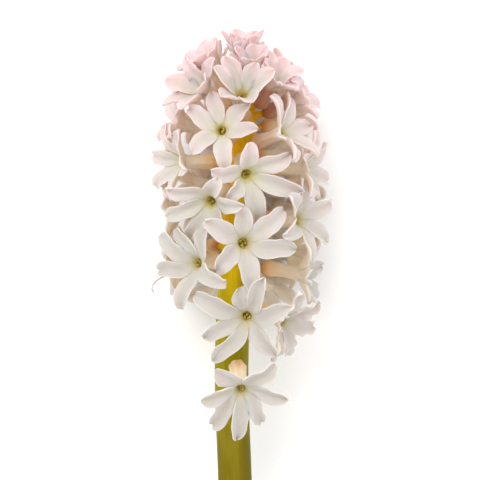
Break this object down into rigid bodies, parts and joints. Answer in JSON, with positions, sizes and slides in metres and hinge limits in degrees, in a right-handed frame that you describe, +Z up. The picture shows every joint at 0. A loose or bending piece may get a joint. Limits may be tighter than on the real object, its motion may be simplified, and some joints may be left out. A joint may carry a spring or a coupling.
{
  "type": "hyacinth flower",
  "caption": "Cut hyacinth flower lying on its back: a thick green scape with a dense head of white to blush-pink, recurved star florets.",
  "frame": {"origin": "on the surface that the flower lies on, under the middle of its outline", "axes": "+Y runs along the scape from its cut end to the top of the head, +Z is up from the surface, which is the side that the picture shows, and +X is the picture's right"},
  "size_m": [0.0724, 0.2014, 0.0634],
  "materials": {
    "scape": "fresh plant stem, smooth and waxy, olive green to golden green",
    "tepals": "fresh waxy petals, satin, white at the bottom of the head to blush pink at its top"
  },
  "bodies": {
    "root": {"scape": "scape", "floret_01": "tepals", "floret_02": "tepals", "floret_03": "tepals", "floret_04": "tepals", "floret_05": "tepals", "floret_06": "tepals", "floret_07": "tepals", "floret_08": "tepals", "floret_09": "tepals", "floret_10": "tepals", "floret_11": "tepals", "floret_12": "tepals", "floret_13": "tepals", "floret_14": "tepals", "floret_15": "tepals", "floret_16": "tepals", "floret_17": "tepals", "floret_18": "tepals", "floret_19": "tepals", "floret_20": "tepals", "floret_21": "tepals", "floret_22": "tepals", "floret_23": "tepals", "floret_24": "tepals", "floret_25": "tepals", "floret_26": "tepals", "floret_27": "tepals", "floret_28": "tepals", "floret_29": "tepals", "floret_30": "tepals", "floret_31": "tepals", "floret_32": "tepals", "floret_33": "tepals", "floret_34": "tepals", "floret_35": "tepals", "floret_36": "tepals", "floret_37": "tepals", "floret_38": "tepals", "floret_39": "tepals", "floret_40": "tepals", "floret_41": "tepals", "floret_42": "tepals", "floret_43": "tepals", "floret_44": "tepals"}
  },
  "joints": []
}
